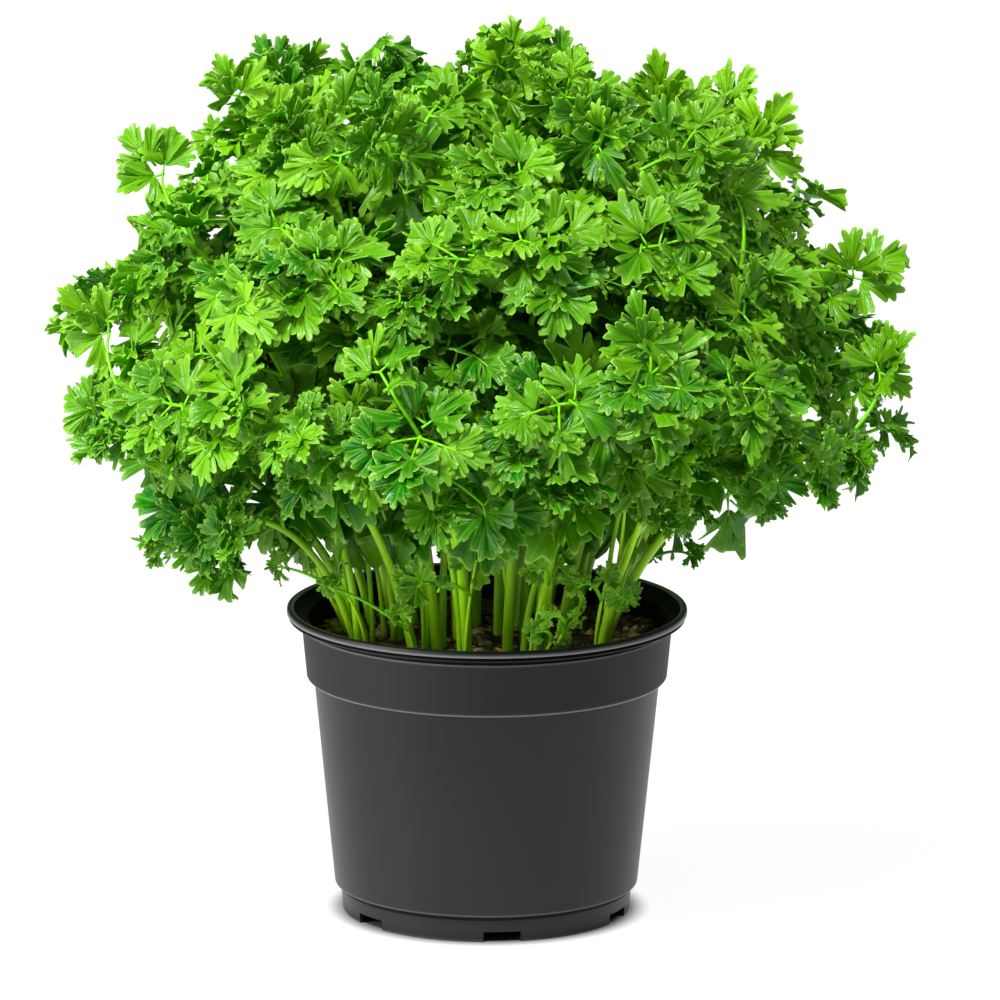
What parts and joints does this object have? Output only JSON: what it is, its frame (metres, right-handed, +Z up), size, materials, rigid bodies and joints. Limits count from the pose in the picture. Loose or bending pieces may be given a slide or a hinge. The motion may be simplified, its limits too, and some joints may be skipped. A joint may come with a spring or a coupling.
{
  "type": "potted parsley",
  "caption": "Bushy curled parsley plant in a black nursery pot filled with soil; leafy stems fan out from the soil into a dome of cut leaflets.",
  "frame": {"origin": "middle of the pot's foot ring, on the surface that the pot stands on", "axes": "+Z up along the pot's axis, -Y towards the front seen in the picture, +X to its right"},
  "size_m": [0.3221, 0.3197, 0.3346],
  "materials": {
    "pot_plastic": "satin black",
    "soil": "crumbly, matt",
    "parsley": "waxy green leaf, slightly translucent"
  },
  "bodies": {
    "root": {"pot": "pot_plastic", "soil": "soil", "leafy_stem_01": "parsley", "leafy_stem_02": "parsley", "leafy_stem_03": "parsley", "leafy_stem_04": "parsley", "leafy_stem_05": "parsley", "leafy_stem_06": "parsley", "leafy_stem_07": "parsley", "leafy_stem_08": "parsley", "leafy_stem_09": "parsley", "leafy_stem_10": "parsley", "leafy_stem_11": "parsley", "leafy_stem_12": "parsley", "leafy_stem_13": "parsley", "leafy_stem_14": "parsley", "leafy_stem_15": "parsley", "leafy_stem_16": "parsley", "leafy_stem_17": "parsley", "leafy_stem_18": "parsley", "leafy_stem_19": "parsley", "leafy_stem_20": "parsley", "leafy_stem_21": "parsley", "leafy_stem_22": "parsley", "leafy_stem_23": "parsley", "leafy_stem_24": "parsley", "leafy_stem_25": "parsley", "leafy_stem_26": "parsley", "leafy_stem_27": "parsley", "leafy_stem_28": "parsley", "leafy_stem_29": "parsley", "leafy_stem_30": "parsley"}
  },
  "joints": []
}
